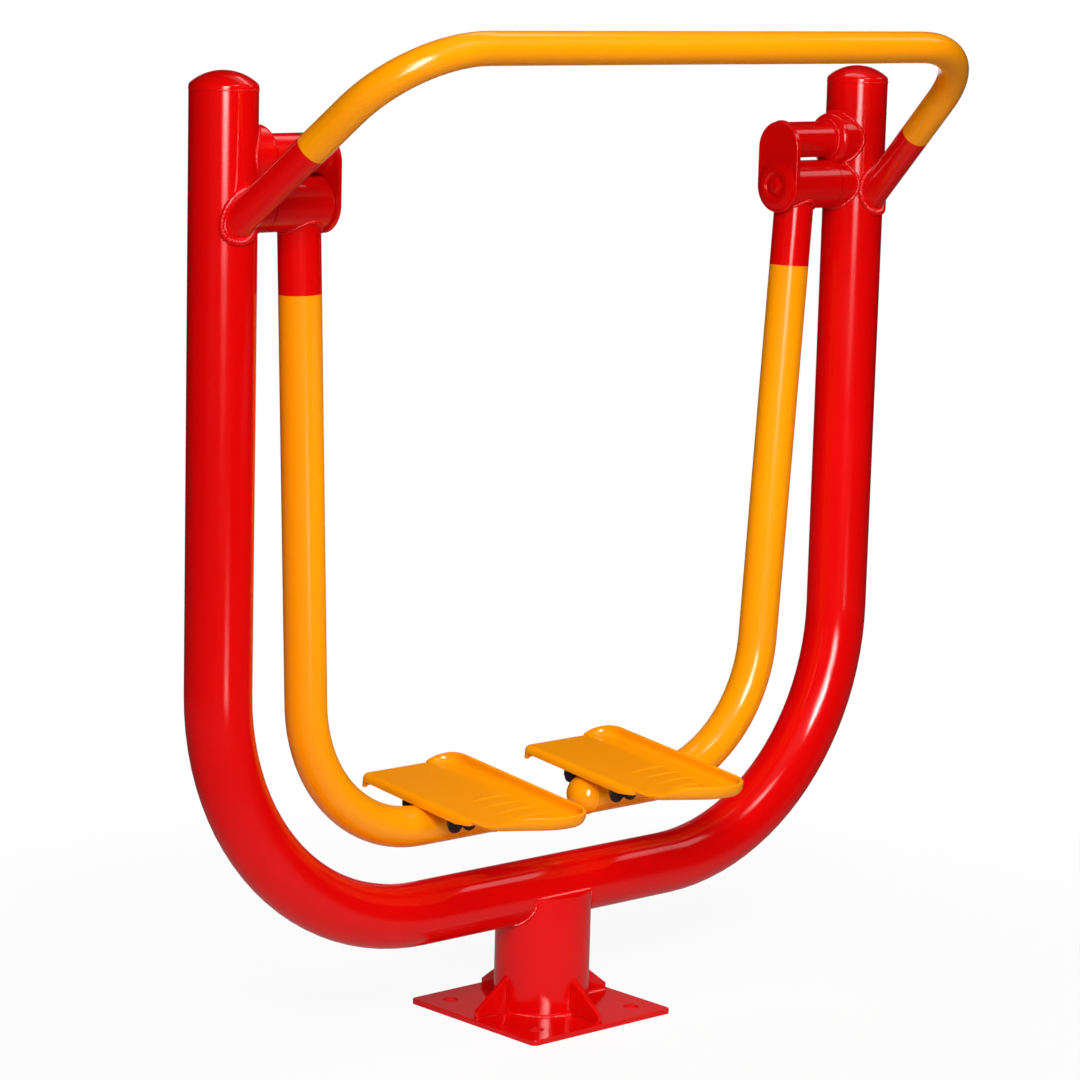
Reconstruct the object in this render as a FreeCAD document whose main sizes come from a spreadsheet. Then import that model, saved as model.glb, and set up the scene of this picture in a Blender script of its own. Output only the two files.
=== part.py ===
import FreeCAD, Part
import math
import os
import re
import Sketcher
from FreeCAD import Placement, Rotation, Vector

# Outdoor air walker, millimetres. X runs across, from the left post to the right one.
# The user faces -Y, the handlebar side. Z is up, and the origin is the middle of the
# underside of the base plate.

# Driving dimensions

DIMENSIONS = {
    # Base plate, gussets and pedestal
    "plate_width": 284,
    "plate_thickness": 8,
    "plate_corner": 9,
    "plate_edge": 1.5,
    "anchor_spacing": 196,
    "anchor_hole": 24,
    "gusset_height": 56,
    "gusset_nose": 10,
    "gusset_margin": 8,
    "gusset_thickness": 8,
    "pedestal_diameter": 146,
    "pedestal_wall": 5,
    "crescent_thickness": 5,
    # Bent main tube and its end caps
    "tube_diameter": 96,
    "tube_wall": 4,
    "post_spacing": 1256,
    "bend_radius": 376,
    "bottom_height": 192,
    "post_height": 1406,
    "cap_rim": 6.5,
    "cap_rise": 19,
    "cap_knuckle": 7,
    "cap_wall": 3,
    "weld_gap": 0.1,
    # Handlebar
    "handle_diameter": 46.5,
    "handle_wall": 3.2,
    "handle_root_height": 1239,
    "handle_root_depth": 25,
    "handle_corner": 557,
    "handle_reach": 312,
    "handle_height": 1472,
    "handle_bend": 159,
    # Pivot line, from the post inwards
    "pivot_height": 1247,
    "stub_diameter": 76,
    "stub_reach": 64,
    "stub_wall": 8,
    "stub_end": 10,
    "hub_gap": 1.5,
    "hub_diameter": 76,
    "hub_length": 100,
    "link_gap": 1.5,
    "link_thickness": 8,
    "link_width": 84,
    "link_rise": 57,
    "link_edge": 2,
    "bar_rise": 70,
    "bar_diameter": 56,
    "bar_wall": 4,
    "collar_diameter": 82,
    "collar_reach": 20,
    "collar_round": 11,
    # Shaft, bearings and what holds them
    "shaft_diameter": 30,
    "shaft_tail": 6,
    "shoulder_diameter": 37,
    "fit_play": 0.03,
    "bearing_diameter": 62,
    "bearing_width": 16,
    "bearing_recess": 3,
    "inner_ring_diameter": 38.8,
    "outer_ring_bore": 53.2,
    "ball_diameter": 9.5,
    "ball_count": 9,
    "race_play": 0.06,
    "seal_thickness": 1.2,
    "seal_inset": 0.4,
    "seal_play": 0.2,
    "hub_step": 4,
    "circlip_thickness": 1.8,
    "circlip_depth": 1.6,
    "circlip_width": 5,
    "circlip_angle": 335,
    "cover_diameter": 74,
    "cover_rise": 6,
    "cover_seat": 3,
    "cover_rim": 9,
    "bolt_diameter": 12,
    "bolt_head": 24,
    "bolt_head_height": 5,
    "bolt_length": 28,
    # Swing arms
    "arm_diameter": 61.5,
    "arm_wall": 3.5,
    "arm_setback": 132,
    "arm_lean": 2.8,
    "arm_bottom": 321.5,
    "arm_bend": 219,
    "arm_end": 96,
    "arm_cap_rim": 1,
    "arm_cap_rise": 27,
    "arm_tilt": 0.98,
    # Pedals
    "pedal_setout": 164,
    "pedal_pitch": 5.5,
    "pedal_width": 174,
    "pedal_heel": 131,
    "pedal_toe": 205,
    "pedal_toe_side": 160,
    "pedal_apex": 20,
    "pedal_wall": 6.5,
    "pedal_rim": 17,
    "rim_roll": 16,
    "heel_lip": 14.5,
    "side_lip": 6,
    "lip_roll": 9,
    "heel_corner": 45,
    "heel_tip": 12,
    "toe_corner": 38,
    "toe_side_corner": 40,
    "toe_round": 120,
    "lip_strip": 24,
    "lip_fade": 30,
    "rim_heel_start": 40,
    "rim_heel_end": 84,
    "rim_toe_start": 80,
    "rim_toe_end": 34,
    "fade_round": 45,
    "ridge_count": 4,
    "ridge_first": 46,
    "ridge_pitch": 29,
    "ridge_setout": 20,
    "ridge_radius": 190,
    "ridge_thickness": 8,
    "ridge_height": 1.6,
    "ridge_angle": 32,
    "ridge_lean": 16,
    # Pedal mounting
    "bracket_thickness": 7,
    "bracket_width": 52,
    "bracket_margin": 12,
    "bracket_setout": 48,
    "bracket_corner": 8,
    "stud_diameter": 14,
    "stud_spacing": 28,
    "stud_toe": 62,
    "stud_heel": 41,
    "washer_diameter": 28,
    "washer_thickness": 2.5,
    "nut_across": 21,
    "nut_height": 13,
    "nut_play": 0.3,
}

# Places along X, as expressions on the dimensions

POST = "post_spacing / 2"
POST_FACE = "(post_spacing / 2 - tube_diameter / 2)"
STUB_FACE = "(post_spacing / 2 - stub_reach)"
HUB_OUTER = f"({STUB_FACE} - hub_gap)"
HUB_INNER = f"({HUB_OUTER} - hub_length)"
LINK_OUTER = f"({HUB_INNER} - link_gap)"
LINK_INNER = f"({LINK_OUTER} - link_thickness)"
OUTER_BEARING = f"({HUB_OUTER} - bearing_recess - bearing_width)"
INNER_BEARING = f"({HUB_INNER} + bearing_recess)"
PITCH_RADIUS = "((inner_ring_diameter + outer_ring_bore) / 4)"
HANDLE_LEG = (
    "sqrt((handle_height - handle_root_height)^2 + (handle_reach - tube_diameter / 2)^2)"
)
ARM_CORNER = "(post_spacing / 2 - arm_setback - (pivot_height - arm_bottom) * tan(arm_lean))"
PEDAL_BASE = "(arm_diameter / 2 + bracket_thickness)"

SIDES = {"left": -1, "right": 1}
FUNCTIONS = {"sqrt", "tan", "cos", "sin"}
FAR = 4000

document = FreeCAD.newDocument("air_walker")
sizes = document.addObject("Spreadsheet::Sheet", "Sizes")
parts = []


def fill_sheet():
    """Write every driving dimension into the sheet, with its name as alias."""
    for row, (name, number) in enumerate(DIMENSIONS.items(), start=1):
        sizes.set(f"A{row}", name)
        sizes.set(f"B{row}", str(number))
        sizes.setAlias(f"B{row}", name)
    document.recompute()


# Helpers for expressions, sketches and bodies


def cells(text):
    """Point each name in an expression at its cell in the sheet."""
    def cell(match):
        word = match.group(0)
        return word if word in FUNCTIONS else "Sizes." + word
    return re.sub(r"[a-z][a-z_]+", cell, text)


def value(text):
    return float(sizes.evalExpression(cells(text)))


def bind(item, name, text):
    item.setExpression(name, cells(text))


def keep(item, label, placement=None):
    """Name a finished sub-part and put it in its place."""
    item.Label = label
    if placement is not None:
        item.Placement = placement
    parts.append(item)
    return item


def new_body(name):
    body = document.addObject("PartDesign::Body", name + "_body")
    body.AllowCompound = True
    return body


def origin_plane(body, role):
    return next(item for item in body.Origin.OriginFeatures if item.Role == role)


def new_sketch(body, name, role="XY_Plane", lift=None):
    """A sketch on one of the body's own planes, lifted along that plane's normal."""
    sketch = body.newObject("Sketcher::SketchObject", name)
    sketch.AttachmentSupport = [(origin_plane(body, role), "")]
    sketch.MapMode = "FlatFace"
    if lift is not None:
        bind(sketch, "AttachmentOffset.Base.z", lift)
    return sketch


def fix_point(sketch, shape, end, x, y):
    """Tie one end of a sketch line, or a circle's centre, to two expressions."""
    for kind, text in (("DistanceX", x), ("DistanceY", y)):
        rule = Sketcher.Constraint(kind, -1, 1, shape, end, value(text))
        index = sketch.addConstraint(rule)
        bind(sketch, f"Constraints[{index}]", text)


def fix_radius(sketch, shape, radius):
    index = sketch.addConstraint(Sketcher.Constraint("Radius", shape, value(radius)))
    bind(sketch, f"Constraints[{index}]", radius)


def polygon(sketch, corners, closed=True, construction=False):
    """Straight lines through corners that are given as pairs of expressions."""
    points = [Vector(value(x), value(y), 0) for x, y in corners]
    count = len(points) if closed else len(points) - 1
    first = sketch.GeometryCount
    for step in range(count):
        line = Part.LineSegment(points[step], points[(step + 1) % len(points)])
        sketch.addGeometry(line, construction)
    joints = count if closed else count - 1
    for step in range(joints):
        after = (step + 1) % count
        sketch.addConstraint(Sketcher.Constraint("Coincident", first + step, 2, first + after, 1))
    for step in range(count):
        fix_point(sketch, first + step, 1, *corners[step])
    if not closed:
        fix_point(sketch, first + count - 1, 2, *corners[-1])
    return first


def circle(sketch, x, y, radius):
    centre = Vector(value(x), value(y), 0)
    round_line = Part.Circle(centre, Vector(0, 0, 1), value(radius))
    shape = sketch.addGeometry(round_line, False)
    fix_point(sketch, shape, 3, x, y)
    fix_radius(sketch, shape, radius)


def corner_arc(before, corner, after, radius):
    """The arc that rounds a corner, its two ends and whether it turns left."""
    to_before = (before - corner).normalize()
    to_after = (after - corner).normalize()
    half = to_before.getAngle(to_after) / 2
    start = corner + to_before * (radius / math.tan(half))
    end = corner + to_after * (radius / math.tan(half))
    middle = (to_before + to_after).normalize()
    centre = corner + middle * (radius / math.sin(half))
    left = (corner - before).cross(after - corner).z > 0
    first, last = (start, end) if left else (end, start)
    low = math.atan2(first.y - centre.y, first.x - centre.x)
    high = math.atan2(last.y - centre.y, last.x - centre.x)
    if high < low:
        high += 2 * math.pi
    arc = Part.ArcOfCircle(Part.Circle(centre, Vector(0, 0, 1), radius), low, high)
    return arc, start, end, left


def rounded_outline(sketch, corners, closed=True):
    """Lines and tangent arcs along corners given as x, y and a radius or None."""
    guide = polygon(sketch, [(x, y) for x, y, _ in corners], closed, construction=True)
    points = [Vector(value(x), value(y), 0) for x, y, _ in corners]
    count = len(points)
    arcs = {}
    for place, (_, _, radius) in enumerate(corners):
        if radius is not None:
            before, after = points[place - 1], points[(place + 1) % count]
            arcs[place] = corner_arc(before, points[place], after, value(radius))
    lines = []
    for step in range(count if closed else count - 1):
        after = (step + 1) % count
        begin = arcs[step][2] if step in arcs else points[step]
        finish = arcs[after][1] if after in arcs else points[after]
        line = sketch.addGeometry(Part.LineSegment(begin, finish), False)
        lines.append(line)
        sharp = [(place, end) for place, end in ((step, 1), (after, 2)) if place not in arcs]
        if len(sharp) < 2:
            kind = "Parallel" if sharp else "Tangent"
            sketch.addConstraint(Sketcher.Constraint(kind, line, guide + step))
        for place, end in sharp:
            fix_point(sketch, line, end, *corners[place][:2])
    for place, (arc, _, _, left) in arcs.items():
        shape = sketch.addGeometry(arc, False)
        start, end = (1, 2) if left else (2, 1)
        line_in, line_out = lines[place - 1], lines[place]
        sketch.addConstraint(Sketcher.Constraint("Tangent", line_in, 2, shape, start))
        sketch.addConstraint(Sketcher.Constraint("Tangent", line_out, 1, shape, end))
        fix_radius(sketch, shape, corners[place][2])


def pad(body, sketch, length, midplane=False, reversed_side=False):
    feature = body.newObject("PartDesign::Pad", sketch.Name + "_pad")
    feature.Profile = sketch
    bind(feature, "Length", length)
    if midplane:
        feature.SideType = "Symmetric"
    feature.Reversed = reversed_side
    sketch.Visibility = False
    return feature


def pocket(body, sketch, reversed_side=False, both=False):
    """Cut a sketch through everything on one side of its plane, or on both."""
    document.recompute()
    before = body.Shape.Volume
    feature = body.newObject("PartDesign::Pocket", sketch.Name + "_cut")
    feature.Profile = sketch
    feature.Type = "Length"
    feature.Length = FAR
    if both:
        feature.SideType = "Symmetric"
    feature.Reversed = reversed_side
    document.recompute()
    if not body.Shape.Volume < before:
        raise RuntimeError(f"{feature.Name} cuts nothing")
    return feature


def revolve(body, sketch, angle=None):
    feature = body.newObject("PartDesign::Revolution", sketch.Name + "_turn")
    feature.Profile = sketch
    feature.ReferenceAxis = (sketch, ["H_Axis"])
    feature.Angle = 360
    if angle is not None:
        bind(feature, "Angle", angle)
    return feature


def cope(body, name, role, x, y, radius):
    """Cut a body's end to the shape of the round tube that it is welded to."""
    sketch = new_sketch(body, name, role)
    circle(sketch, x, y, f"({radius} + weld_gap)")
    pocket(body, sketch, both=True)


def edges_where(shape, test):
    """Names of the edges whose middle passes a test."""
    names = []
    for number, edge in enumerate(shape.Edges, start=1):
        middle = edge.valueAt((edge.FirstParameter + edge.LastParameter) / 2)
        if test(edge, middle):
            names.append(f"Edge{number}")
    return names


def fillet(body, test, radius):
    document.recompute()
    base = body.Tip
    feature = body.newObject("PartDesign::Fillet", "round_edges")
    feature.Base = (base, edges_where(base.Shape, test))
    bind(feature, "Radius", radius)
    document.recompute()
    return feature


def hollow(body, open_height, wall):
    """Leave a wall of one thickness, open at the flat face at a given height."""
    document.recompute()
    base = body.Tip
    names = [f"Face{number}" for number, face in enumerate(base.Shape.Faces, start=1)
             if abs(face.CenterOfMass.z - open_height) < 0.01
             and abs(face.normalAt(0, 0).z) > 0.99]
    feature = body.newObject("PartDesign::Thickness", "shell")
    feature.Base = (base, names)
    bind(feature, "Value", wall)
    feature.Reversed = True
    feature.Join = 0
    document.recompute()
    return feature


def pipe(body, path, diameter, wall):
    """A round tube of one wall thickness along a sketched path."""
    document.recompute()
    ring = body.newObject("Sketcher::SketchObject", path.Name + "_ring")
    ring.AttachmentSupport = [(path, "Edge1")]
    ring.MapMode = "NormalToEdge"
    ring.MapPathParameter = 0.0
    for radius in (f"{diameter} / 2", f"{diameter} / 2 - {wall}"):
        shape = ring.addGeometry(Part.Circle(Vector(), Vector(0, 0, 1), value(radius)), False)
        ring.addConstraint(Sketcher.Constraint("Coincident", shape, 3, -1, 1))
        fix_radius(ring, shape, radius)
    document.recompute()
    feature = body.newObject("PartDesign::AdditivePipe", path.Name + "_pipe")
    feature.Profile = ring
    feature.Spine = path
    document.recompute()
    return feature


def primitive(kind, name, **bound):
    item = document.addObject("Part::" + kind, name)
    for key, text in bound.items():
        bind(item, key, text)
    return item


def cut(name, base, tool):
    item = document.addObject("Part::Cut", name)
    item.Base = base
    item.Tool = tool
    return item


def fuse(name, *shapes):
    item = document.addObject("Part::MultiFuse", name)
    item.Shapes = list(shapes)
    item.Refine = True
    return item


def at_pivot(side):
    """Place of a piece turned about the pivot line, drawn for the right-hand side."""
    turn = 0 if side > 0 else 180
    return Placement(Vector(0, 0, value("pivot_height")), Rotation(Vector(0, 0, 1), turn))


def hanging():
    """The small tilt about the pivot line at which an arm hangs in balance."""
    turn = Rotation(Vector(1, 0, 0), value("arm_tilt"))
    return Placement(Vector(), turn, Vector(0, 0, value("pivot_height")))


def on_pedal(side):
    """Place of a piece drawn level, with its origin on the arm tube's centre line."""
    seat = Vector(side * value("pedal_setout"), 0, value("arm_bottom"))
    return hanging() * Placement(seat, Rotation(Vector(1, 0, 0), value("pedal_pitch")))


def turned(label, side, *loops, angle=None):
    """A piece turned about the pivot line from closed profiles of (x, radius)."""
    body = new_body(label)
    sketch = new_sketch(body, label + "_profile", "XZ_Plane")
    for corners in loops:
        polygon(sketch, corners)
    revolve(body, sketch, angle)
    return keep(body, label, at_pivot(side))


def block(x_low, x_high, r_low, r_high):
    """The four corners of a plain ring's profile."""
    return [(x_low, r_low), (x_high, r_low), (x_high, r_high), (x_low, r_high)]


# Base and pedestal


def base_plate():
    body = new_body("base_plate")
    outline = new_sketch(body, "plate_outline")
    half = "plate_width / 2"
    corners = [(f"-{half}", f"-{half}"), (half, f"-{half}"), (half, half), (f"-{half}", half)]
    rounded_outline(outline, [(x, y, "plate_corner") for x, y in corners])
    pad(body, outline, "plate_thickness")
    holes = new_sketch(body, "anchor_holes")
    for x in ("-anchor_spacing / 2", "anchor_spacing / 2"):
        for y in ("-anchor_spacing / 2", "anchor_spacing / 2"):
            circle(holes, x, y, "anchor_hole / 2")
    pocket(body, holes, both=True)
    top, hole = value("plate_thickness"), value("anchor_hole / 2")

    def outer_edge(edge, middle):
        small = hasattr(edge.Curve, "Radius") and abs(edge.Curve.Radius - hole) < 0.01
        return abs(middle.z - top) < 0.01 and not small

    fillet(body, outer_edge, "plate_edge")
    keep(body, "base_plate")


def gusset(label, turn):
    body = new_body(label)
    sketch = new_sketch(body, label + "_outline", "XZ_Plane")
    inner = "pedestal_diameter / 2"
    tip = "plate_width / 2 - gusset_margin"
    polygon(sketch, [
        (inner, "plate_thickness"),
        (tip, "plate_thickness"),
        (tip, "plate_thickness + gusset_nose"),
        (inner, "plate_thickness + gusset_height"),
    ])
    pad(body, sketch, "gusset_thickness", midplane=True)
    face = value("gusset_thickness / 2")
    low, root = value("plate_thickness"), value(inner)

    def open_edge(edge, middle):
        on_face = abs(abs(middle.y) - face) < 0.01
        return on_face and middle.z > low + 0.01 and middle.x > root + 0.01

    fillet(body, open_edge, "plate_edge")
    keep(body, label, Placement(Vector(), Rotation(Vector(0, 0, 1), turn)))


def lying_tube(name):
    """The bottom of the main tube, with room for the weld, to cut other pieces by."""
    tube = primitive("Cylinder", name, Radius="tube_diameter / 2 + weld_gap",
                     Height="2 * pedestal_diameter")
    tube.Placement = Placement(
        Vector(-value("pedestal_diameter"), 0, value("bottom_height")),
        Rotation(Vector(0, 1, 0), 90))
    return tube


def pedestal_tube():
    """A straight tube whose mouth is cut to the main tube that lies in it."""
    walls = []
    for name, radius in (("outside", "pedestal_diameter / 2"),
                         ("inside", "pedestal_diameter / 2 - pedestal_wall")):
        wall = primitive("Cylinder", "pedestal_" + name, Radius=radius,
                         Height="bottom_height - crescent_thickness - plate_thickness")
        bind(wall, "Placement.Base.z", "plate_thickness")
        walls.append(wall)
    shell = cut("pedestal_shell", *walls)
    keep(cut("pedestal", shell, lying_tube("pedestal_mouth")), "pedestal_tube")


def pedestal_crescents():
    """Two flat plates that close the pedestal in front of and behind the main tube."""
    disc = primitive("Cylinder", "crescent_disc", Radius="pedestal_diameter / 2",
                     Height="crescent_thickness")
    bind(disc, "Placement.Base.z", "bottom_height - crescent_thickness")
    keep(cut("crescents", disc, lying_tube("crescent_mouth")), "pedestal_crescents")


# Main tube, caps and handlebar


def main_tube():
    body = new_body("main_tube")
    path = new_sketch(body, "main_path", "XZ_Plane")
    rounded_outline(path, [
        (f"-{POST}", "post_height", None),
        (f"-{POST}", "bottom_height", "bend_radius"),
        (POST, "bottom_height", "bend_radius"),
        (POST, "post_height", None),
    ], closed=False)
    pipe(body, path, "tube_diameter", "tube_wall")
    keep(body, "main_frame_tube")


def dome(label, place, radius, rim, rise, wall, knuckle=None):
    """A hollow domed end, drawn with its flat rim on the XY plane."""
    body = new_body(label)
    half = new_sketch(body, label + "_profile", "XZ_Plane")
    crown = f"((({radius})^2 + {rise}^2) / (2 * {rise}))"
    middle = f"({rim} + {rise} - {crown})"
    top = f"{rim} + {rise}"
    inner, inner_crown = f"({radius} - {wall})", f"({crown} - {wall})"
    inner_rim = f"{middle} + sqrt({inner_crown}^2 - {inner}^2)"
    centre = Vector(0, value(middle), 0)

    def crown_arc(across, height, size):
        lean = math.atan2(value(height) - centre.y, value(across))
        return Part.ArcOfCircle(Part.Circle(centre, Vector(0, 0, 1), value(size)),
                                lean, math.pi / 2)

    corners = [(inner, "0"), (radius, "0"), (radius, rim), ("0", top), ("0", f"{top} - {wall}"),
               (inner, inner_rim)]
    points = [Vector(value(x), value(y), 0) for x, y in corners]
    half.addGeometry([
        Part.LineSegment(points[0], points[1]),
        Part.LineSegment(points[1], points[2]),
        crown_arc(radius, rim, crown),
        Part.LineSegment(points[3], points[4]),
        crown_arc(inner, inner_rim, inner_crown),
        Part.LineSegment(points[5], points[0]),
    ], False)
    for first, end, second, start in ((0, 2, 1, 1), (1, 2, 2, 1), (2, 2, 3, 1), (3, 2, 4, 2),
                                      (4, 1, 5, 1), (5, 2, 0, 1)):
        half.addConstraint(Sketcher.Constraint("Coincident", first, end, second, start))
    for shape, end, place_now in ((0, 1, 0), (1, 1, 1), (2, 1, 2), (4, 1, 5)):
        fix_point(half, shape, end, *corners[place_now])
    half.addConstraint(Sketcher.Constraint("PointOnObject", 3, 1, -2))
    half.addConstraint(Sketcher.Constraint("PointOnObject", 3, 2, -2))
    fix_point(half, 2, 3, "0", middle)
    fix_point(half, 4, 3, "0", middle)
    feature = body.newObject("PartDesign::Revolution", label + "_turn")
    feature.Profile = half
    feature.ReferenceAxis = (half, ["V_Axis"])
    feature.Angle = 360
    if knuckle is not None:
        low, across = value(rim), value(radius)

        def shoulder(edge, point):
            return abs(point.z - low) < 0.01 and math.hypot(point.x, point.y) > across - 0.01

        fillet(body, shoulder, knuckle)
    keep(body, label, place)


def post_cap(label, side):
    place = Placement(Vector(side * value(POST), 0, value("post_height")), Rotation())
    dome(label, place, "tube_diameter / 2", "cap_rim", "cap_rise", "cap_wall", "cap_knuckle")


def handlebar():
    """One bent tube whose legs rise forward from the fronts of both posts."""
    body = new_body("handlebar")
    path = body.newObject("Sketcher::SketchObject", "handle_path")
    path.AttachmentSupport = [(origin_plane(body, "XY_Plane"), "")]
    path.MapMode = "FlatFace"
    rise = value("handle_height - handle_root_height")
    run = value("handle_reach - tube_diameter / 2")
    slope = 180 - math.degrees(math.atan2(rise, run))
    root = Vector(0, -value("tube_diameter / 2"), value("handle_root_height"))
    path.AttachmentOffset = Placement(root, Rotation(Vector(1, 0, 0), slope))
    outward = f"({POST} - handle_corner) / {HANDLE_LEG} * handle_root_depth"
    foot = f"({POST} + {outward})"
    rounded_outline(path, [
        (f"-{foot}", "-handle_root_depth", None),
        ("-handle_corner", HANDLE_LEG, "handle_bend"),
        ("handle_corner", HANDLE_LEG, "handle_bend"),
        (foot, "-handle_root_depth", None),
    ], closed=False)
    pipe(body, path, "handle_diameter", "handle_wall")
    for name, x in (("left_foot", f"-{POST}"), ("right_foot", POST)):
        cope(body, name, "XY_Plane", x, "0", "tube_diameter / 2")
    keep(body, "handlebar")


# Fixed pieces of one pivot


def upper_bar(label, side):
    outer, inner = "bar_diameter / 2", "bar_diameter / 2 - bar_wall"
    body = turned(label, side, block(LINK_OUTER, POST, inner, outer))
    body.Placement.Base.z += value("bar_rise")
    cope(body, label + "_cope", "XY_Plane", POST, "0", "tube_diameter / 2")


def bar_collar(label, side):
    """The rounded ring that stiffens the joint of the upper bar and the post."""
    start = f"{POST_FACE} - collar_reach"
    body = turned(label, side, block(start, POST, "bar_diameter / 2 + weld_gap",
                                     "collar_diameter / 2"))
    body.Placement.Base.z += value("bar_rise")
    edge_x, edge_r = value(start), value("collar_diameter / 2")

    def outer_rim(edge, middle):
        return abs(middle.x - edge_x) < 0.01 and math.hypot(middle.y, middle.z) > edge_r - 0.01

    fillet(body, outer_rim, "collar_round")
    cope(body, label + "_cope", "XY_Plane", POST, "0", "tube_diameter / 2")
    cope(body, label + "_stub_cope", "YZ_Plane", "0", "-bar_rise", "stub_diameter / 2")


def pivot_stub(label, side):
    shaft = "shaft_diameter / 2 + fit_play"
    outer, inner = "stub_diameter / 2", "stub_diameter / 2 - stub_wall"
    wall = f"{STUB_FACE} + stub_end"
    body = turned(label, side, [
        (STUB_FACE, shaft), (STUB_FACE, outer), (POST, outer),
        (POST, inner), (wall, inner), (wall, shaft),
    ])
    cope(body, label + "_cope", "XY_Plane", POST, "0", "tube_diameter / 2")


def pivot_shaft(label, side):
    shaft, shoulder = "shaft_diameter / 2", "shoulder_diameter / 2"
    thread = "bolt_diameter / 2 + fit_play"
    bottom = f"{LINK_INNER} + bolt_length + shaft_tail"
    tail = f"{STUB_FACE} + stub_end + shaft_tail"
    seat = f"{OUTER_BEARING} + bearing_width"
    turned(label, side, [
        (LINK_INNER, thread), (LINK_INNER, shaft), (seat, shaft), (seat, shoulder),
        (STUB_FACE, shoulder), (STUB_FACE, shaft), (tail, shaft), (tail, "0"),
        (bottom, "0"), (bottom, thread),
    ])


def link_plate(label, side):
    """The round-ended plate that ties the shaft's free end to the upper bar."""
    body = new_body(label)
    outline = new_sketch(body, label + "_outline", "YZ_Plane", lift=LINK_INNER)
    half = value("link_width / 2")
    rise = value("link_rise")
    low = Part.ArcOfCircle(Part.Circle(Vector(), Vector(0, 0, 1), half), math.pi, 2 * math.pi)
    top = Part.Circle(Vector(0, rise, 0), Vector(0, 0, 1), half)
    high = Part.ArcOfCircle(top, 0, math.pi)
    right = Part.LineSegment(Vector(half, 0, 0), Vector(half, rise, 0))
    left = Part.LineSegment(Vector(-half, rise, 0), Vector(-half, 0, 0))
    outline.addGeometry([low, right, high, left], False)
    for first, second in ((0, 1), (1, 2), (2, 3), (3, 0)):
        outline.addConstraint(Sketcher.Constraint("Tangent", first, 2, second, 1))
    fix_point(outline, 0, 3, "0", "0")
    fix_point(outline, 2, 3, "0", "link_rise")
    fix_radius(outline, 0, "link_width / 2")
    fix_radius(outline, 2, "link_width / 2")
    pad(body, outline, "link_thickness")
    front = value(LINK_INNER)
    fillet(body, lambda edge, middle: abs(middle.x - front) < 0.01, "link_edge")
    bore = new_sketch(body, label + "_bore", "YZ_Plane")
    circle(bore, "0", "0", "shaft_diameter / 2 + fit_play")
    pocket(body, bore, both=True)
    keep(body, label, at_pivot(side))


def pivot_cover(label, side):
    """A dished disc that holds the shaft in the link plate."""
    bolt = "bolt_diameter / 2 + fit_play"
    crest, seat = f"{LINK_INNER} - cover_rise", f"{LINK_INNER} - cover_seat"
    head = "bolt_head / 2"
    turned(label, side, [
        (LINK_INNER, bolt), (LINK_INNER, "cover_diameter / 2"),
        (seat, "cover_diameter / 2"), (crest, "cover_diameter / 2 - cover_rim"),
        (crest, f"{head} + cover_rim"), (seat, f"{head} + cover_rise"), (seat, bolt),
    ])


def cover_bolt(label, side):
    seat = f"{LINK_INNER} - cover_seat"
    top = f"{seat} - bolt_head_height"
    end = f"{LINK_INNER} + bolt_length"
    head, shank = "bolt_head / 2", "bolt_diameter / 2"
    turned(label, side, [
        (top, "0"), (top, f"{head} - bolt_head_height"), (f"{seat} - bolt_head_height / 2", head),
        (seat, head), (seat, shank), (end, shank), (end, "0"),
    ])


def bearing_rings(label, side, low, high):
    """Both bearings' rings of one kind, with the ball race turned into them."""
    body = turned(label, side, *[
        block(start, f"{start} + bearing_width", low, high)
        for start in (INNER_BEARING, OUTER_BEARING)
    ])
    race = new_sketch(body, label + "_race", "XZ_Plane")
    for start in (INNER_BEARING, OUTER_BEARING):
        circle(race, f"{start} + bearing_width / 2", PITCH_RADIUS, "ball_diameter / 2 + race_play")
    groove = body.newObject("PartDesign::Groove", label + "_groove")
    groove.Profile = race
    groove.ReferenceAxis = (race, ["H_Axis"])
    groove.Angle = 360


def bearing_balls(label, side):
    balls = []
    count = int(value("ball_count"))
    radius = value(PITCH_RADIUS)
    for start in (INNER_BEARING, OUTER_BEARING):
        x = value(f"{start} + bearing_width / 2")
        for number in range(count):
            turn = 2 * math.pi * number / count
            ball = primitive("Sphere", f"{label}_{len(balls)}", Radius="ball_diameter / 2")
            ball.Placement.Base = Vector(x, radius * math.cos(turn), radius * math.sin(turn))
            balls.append(ball)
    group = document.addObject("Part::Compound", label + "_group")
    group.Links = balls
    keep(group, label, at_pivot(side))


def bearing_spacers(label, side):
    """The sleeve between the inner rings and the short ring at the link plate."""
    low, high = "shaft_diameter / 2 + fit_play", "shoulder_diameter / 2"
    sleeve = block(f"{INNER_BEARING} + bearing_width", OUTER_BEARING, low, high)
    short = block(LINK_OUTER, INNER_BEARING, low, high)
    turned(label, side, sleeve, short)


# Moving pieces of one arm


def arm_hub(label, side):
    seat, outer = "bearing_diameter / 2 + fit_play", "hub_diameter / 2"
    step, ring = "bearing_diameter / 2 - hub_step", "bearing_diameter / 2 + circlip_depth"
    inner_end = f"{INNER_BEARING} - circlip_thickness"
    outer_start = f"{OUTER_BEARING} + bearing_width"
    turned(label, side, [
        (HUB_INNER, seat), (HUB_INNER, outer), (HUB_OUTER, outer), (HUB_OUTER, seat),
        (f"{outer_start} + circlip_thickness", seat), (f"{outer_start} + circlip_thickness", ring),
        (outer_start, ring), (outer_start, seat), (OUTER_BEARING, seat), (OUTER_BEARING, step),
        (f"{INNER_BEARING} + bearing_width", step), (f"{INNER_BEARING} + bearing_width", seat),
        (INNER_BEARING, seat), (INNER_BEARING, ring), (inner_end, ring), (inner_end, seat),
    ])


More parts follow.
